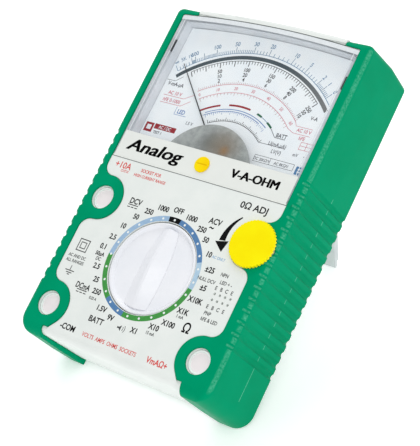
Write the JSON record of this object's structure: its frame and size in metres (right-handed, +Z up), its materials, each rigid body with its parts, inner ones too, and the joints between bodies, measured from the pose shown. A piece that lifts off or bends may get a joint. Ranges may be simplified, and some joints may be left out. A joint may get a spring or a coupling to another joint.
{
  "type": "analog multimeter",
  "caption": "Analog multimeter with a moving-coil pointer dial, rotary range switch, shrouded sockets and a rubber holster, leaning back on its fold-out tilt stand.",
  "frame": {"origin": "centre of the footprint on the surface the meter stands on, at the bottom of its bounding box", "axes": "+Z up; +X to the right across the face as the user reads it; +Y away from the user, from the sockets' end towards the dial's end. The face leans back 26.5 degrees from level on the open stand."},
  "size_m": [0.1, 0.154, 0.1015],
  "materials": {
    "holster_rubber": "satin soft rubber",
    "case_plastic": "fine matt",
    "stand_plastic": "fine matt",
    "clear_plastic": "clear, polished",
    "band_film": "printed film",
    "screw_steel": "zinc plated",
    "white_plastic": "semi-gloss",
    "yellow_plastic": "semi-gloss",
    "dial_plate": "matt printed",
    "mirror_foil": "bright foil",
    "smoked_plastic": "smoked, translucent",
    "inner_plastic": "moulded",
    "magnet_steel": "ground",
    "light_metal": "plain",
    "coil_copper": "fine enamelled winding on an aluminium former",
    "pointer_black": "matt black paint",
    "spring_bronze": "phosphor bronze",
    "socket_brass": "nickel-plated brass",
    "board_laminate": "solder-masked laminate",
    "component_body": "moulded and lacquered",
    "fuse_glass": "glass tube with nickel caps",
    "cell_jacket": "plain metal-foil jacket"
  },
  "bodies": {
    "meter": {"holster": "holster_rubber", "front_case": "case_plastic", "rear_case": "case_plastic", "case_screws": "screw_steel", "meter_cover": "clear_plastic", "cover_band": "band_film", "scale_plate": "dial_plate", "mirror_strip": "mirror_foil", "movement_shield": "smoked_plastic", "meter_base": "inner_plastic", "plate_screws": "screw_steel", "yoke_ring": "magnet_steel", "magnet_core": "magnet_steel", "core_bracket": "light_metal", "front_bridge": "light_metal", "rear_bridge": "light_metal", "rear_hairspring": "spring_bronze", "potentiometer": "component_body", "transistor_socket": "inner_plastic", "pcb": "board_laminate", "pcb_screws": "screw_steel", "resistors": "component_body", "trimmers": "component_body", "fuse_link": "fuse_glass", "fuse_clips": "spring_bronze", "buzzer": "component_body", "battery_9v": "cell_jacket", "battery_snap": "inner_plastic", "batteries_aa": "cell_jacket", "battery_contacts": "spring_bronze", "stand_pins": "screw_steel", "jack_com": "socket_brass", "jack_vma": "socket_brass", "jack_10a": "socket_brass"},
    "stand": {"stand": "stand_plastic"},
    "selector": {"range_knob": "white_plastic", "switch_rotor": "inner_plastic", "detent_ball": "magnet_steel", "detent_spring": "magnet_steel", "switch_wipers": "spring_bronze"},
    "ohm_adjuster": {"ohm_knob": "yellow_plastic", "potentiometer_shaft": "light_metal"},
    "zero_adjuster": {"zero_screw": "yellow_plastic"},
    "zero_corrector": {"zero_arm": "spring_bronze", "front_hairspring": "spring_bronze"},
    "movement": {"moving_coil": "coil_copper", "pointer": "pointer_black", "pointer_weights": "pointer_black"},
    "cap_com": {"socket_cap_com": "white_plastic"},
    "cap_vma": {"socket_cap_vma": "white_plastic"},
    "cap_10a": {"socket_cap_10a": "white_plastic"},
    "battery_door": {"battery_cover": "case_plastic", "battery_cover_screws": "screw_steel"}
  },
  "joints": [
    {"name": "stand_hinge", "type": "hinge", "parent": "meter", "child": "stand", "pos_m": [0, 0.04665, 0.05758], "axis": [1, 0, 0], "range_deg": [-49.5, 0]},
    {"name": "range_switch", "type": "hinge", "parent": "meter", "child": "selector", "pos_m": [0, -0.04119, 0.05104], "axis": [0, -0.4469, 0.8946], "continuous": true},
    {"name": "ohm_adjust", "type": "hinge", "parent": "meter", "child": "ohm_adjuster", "pos_m": [0.03885, -0.02204, 0.0606], "axis": [0, -0.4469, 0.8946], "range_deg": [-150, 150]},
    {"name": "zero_screw_turn", "type": "hinge", "parent": "meter", "child": "zero_adjuster", "pos_m": [0, 0.0005, 0.07186], "axis": [0, -0.4469, 0.8946], "range_deg": [-25, 25]},
    {"name": "zero_arm_turn", "type": "hinge", "parent": "meter", "child": "zero_corrector", "pos_m": [0, 0.00631, 0.07477], "axis": [0, -0.4469, 0.8946], "range_deg": [-9, 9]},
    {"name": "pointer_swing", "type": "hinge", "parent": "meter", "child": "movement", "pos_m": [0, 0.00631, 0.07477], "axis": [0, -0.4469, 0.8946], "range_deg": [-93, 3], "stiffness_Nm_per_rad": 0.0005},
    {"name": "cap_com_pull", "type": "slide", "parent": "meter", "child": "cap_com", "axis": [0, -0.4469, 0.8946], "range_m": [0, 0.06]},
    {"name": "cap_vma_pull", "type": "slide", "parent": "meter", "child": "cap_vma", "axis": [0, -0.4469, 0.8946], "range_m": [0, 0.06]},
    {"name": "cap_10a_pull", "type": "slide", "parent": "meter", "child": "cap_10a", "axis": [0, -0.4469, 0.8946], "range_m": [0, 0.06]},
    {"name": "battery_door_lift", "type": "slide", "parent": "meter", "child": "battery_door", "axis": [0, 0.4469, -0.8946], "range_m": [0, 0.02]}
  ],
  "couplings": [
    {"joint": "zero_arm_turn", "follows": "zero_screw_turn", "ratio": -0.32653}
  ]
}
